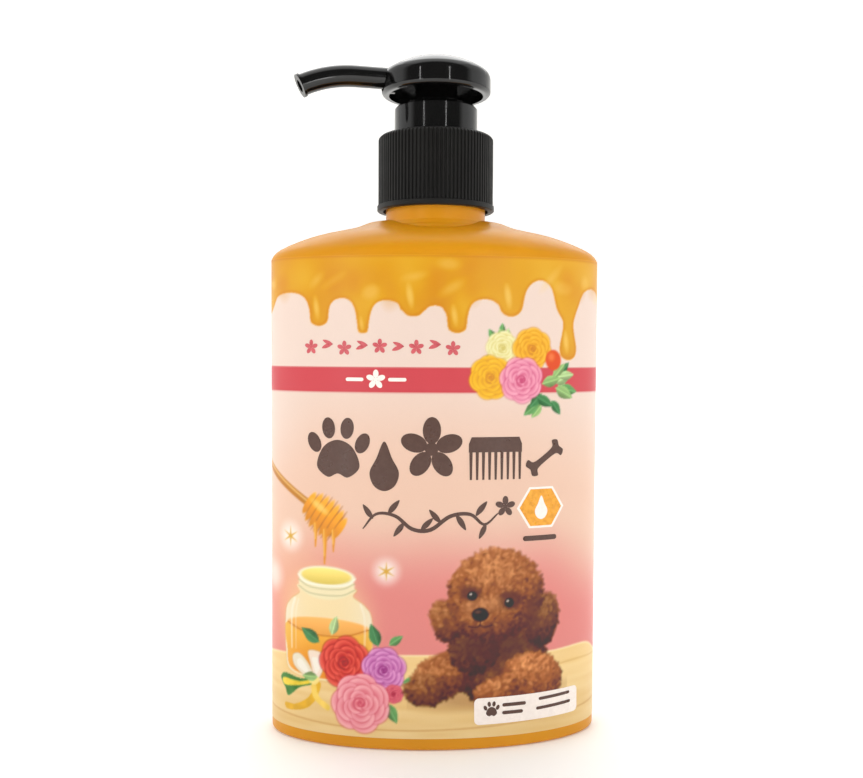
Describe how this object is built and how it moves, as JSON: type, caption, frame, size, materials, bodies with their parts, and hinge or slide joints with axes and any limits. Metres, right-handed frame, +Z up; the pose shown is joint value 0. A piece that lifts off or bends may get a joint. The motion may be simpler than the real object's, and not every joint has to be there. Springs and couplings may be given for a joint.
{
  "type": "shampoo pump bottle",
  "caption": "Oval bottle for liquid shampoo with a screw-on pump whose sprung head turns and presses down to dose liquid through a bent nozzle.",
  "frame": {"origin": "middle of the base, on the plane that the bottle stands on", "axes": "+Z up along the pump; X along the bottle's wide side; -Y to the front; the nozzle points to -X, turned 12 degrees to the front"},
  "size_m": [0.087, 0.041, 0.1783],
  "materials": {
    "bottle_plastic": "semi-gloss, orange yellow",
    "printed_film": "printed film, semi-gloss",
    "collar_plastic": "satin black",
    "head_plastic": "polished black",
    "white_plastic": "natural white",
    "tube_plastic": "translucent natural",
    "gasket_foam": "matt foam",
    "steel": "bright stainless"
  },
  "bodies": {
    "bottle_body": {"bottle": "bottle_plastic", "label_sleeve": "printed_film"},
    "pump_frame": {"pump_housing": "white_plastic", "lock_ring": "head_plastic", "neck_gasket": "gasket_foam", "dip_tube": "tube_plastic", "return_spring": "steel"},
    "collar": {"screw_collar": "collar_plastic"},
    "ball": {"inlet_ball": "steel"},
    "plunger": {"valve_rod": "white_plastic"},
    "piston_body": {"piston": "white_plastic"},
    "head": {"pump_head": "head_plastic", "dome_cap": "head_plastic", "nozzle": "head_plastic", "stem": "head_plastic"}
  },
  "joints": [
    {"name": "closure_rise", "type": "slide", "parent": "bottle_body", "child": "pump_frame", "axis": [0, 0, 1], "range_m": [0, 0.00634]},
    {"name": "collar_turn", "type": "hinge", "parent": "pump_frame", "child": "collar", "pos_m": [0, 0, 0.147], "axis": [0, 0, 1], "range_deg": [0, 540]},
    {"name": "pump_stroke", "type": "slide", "parent": "pump_frame", "child": "plunger", "axis": [0, 0, -1], "range_m": [0, 0.007], "stiffness_N_per_m": 650, "springref_m": -0.006, "deforming": ["return_spring"]},
    {"name": "piston_slip", "type": "slide", "parent": "plunger", "child": "piston_body", "axis": [0, 0, 1], "range_m": [0, 0.0012]},
    {"name": "head_turn", "type": "hinge", "parent": "plunger", "child": "head", "pos_m": [0, 0, 0.17], "axis": [0, 0, 1], "continuous": true},
    {"name": "ball_lift", "type": "slide", "parent": "pump_frame", "child": "ball", "axis": [0, 0, 1], "range_m": [0, 0.002]}
  ],
  "couplings": [
    {"joint": "collar_turn", "follows": "closure_rise", "rad_per_m": 1485.4}
  ]
}
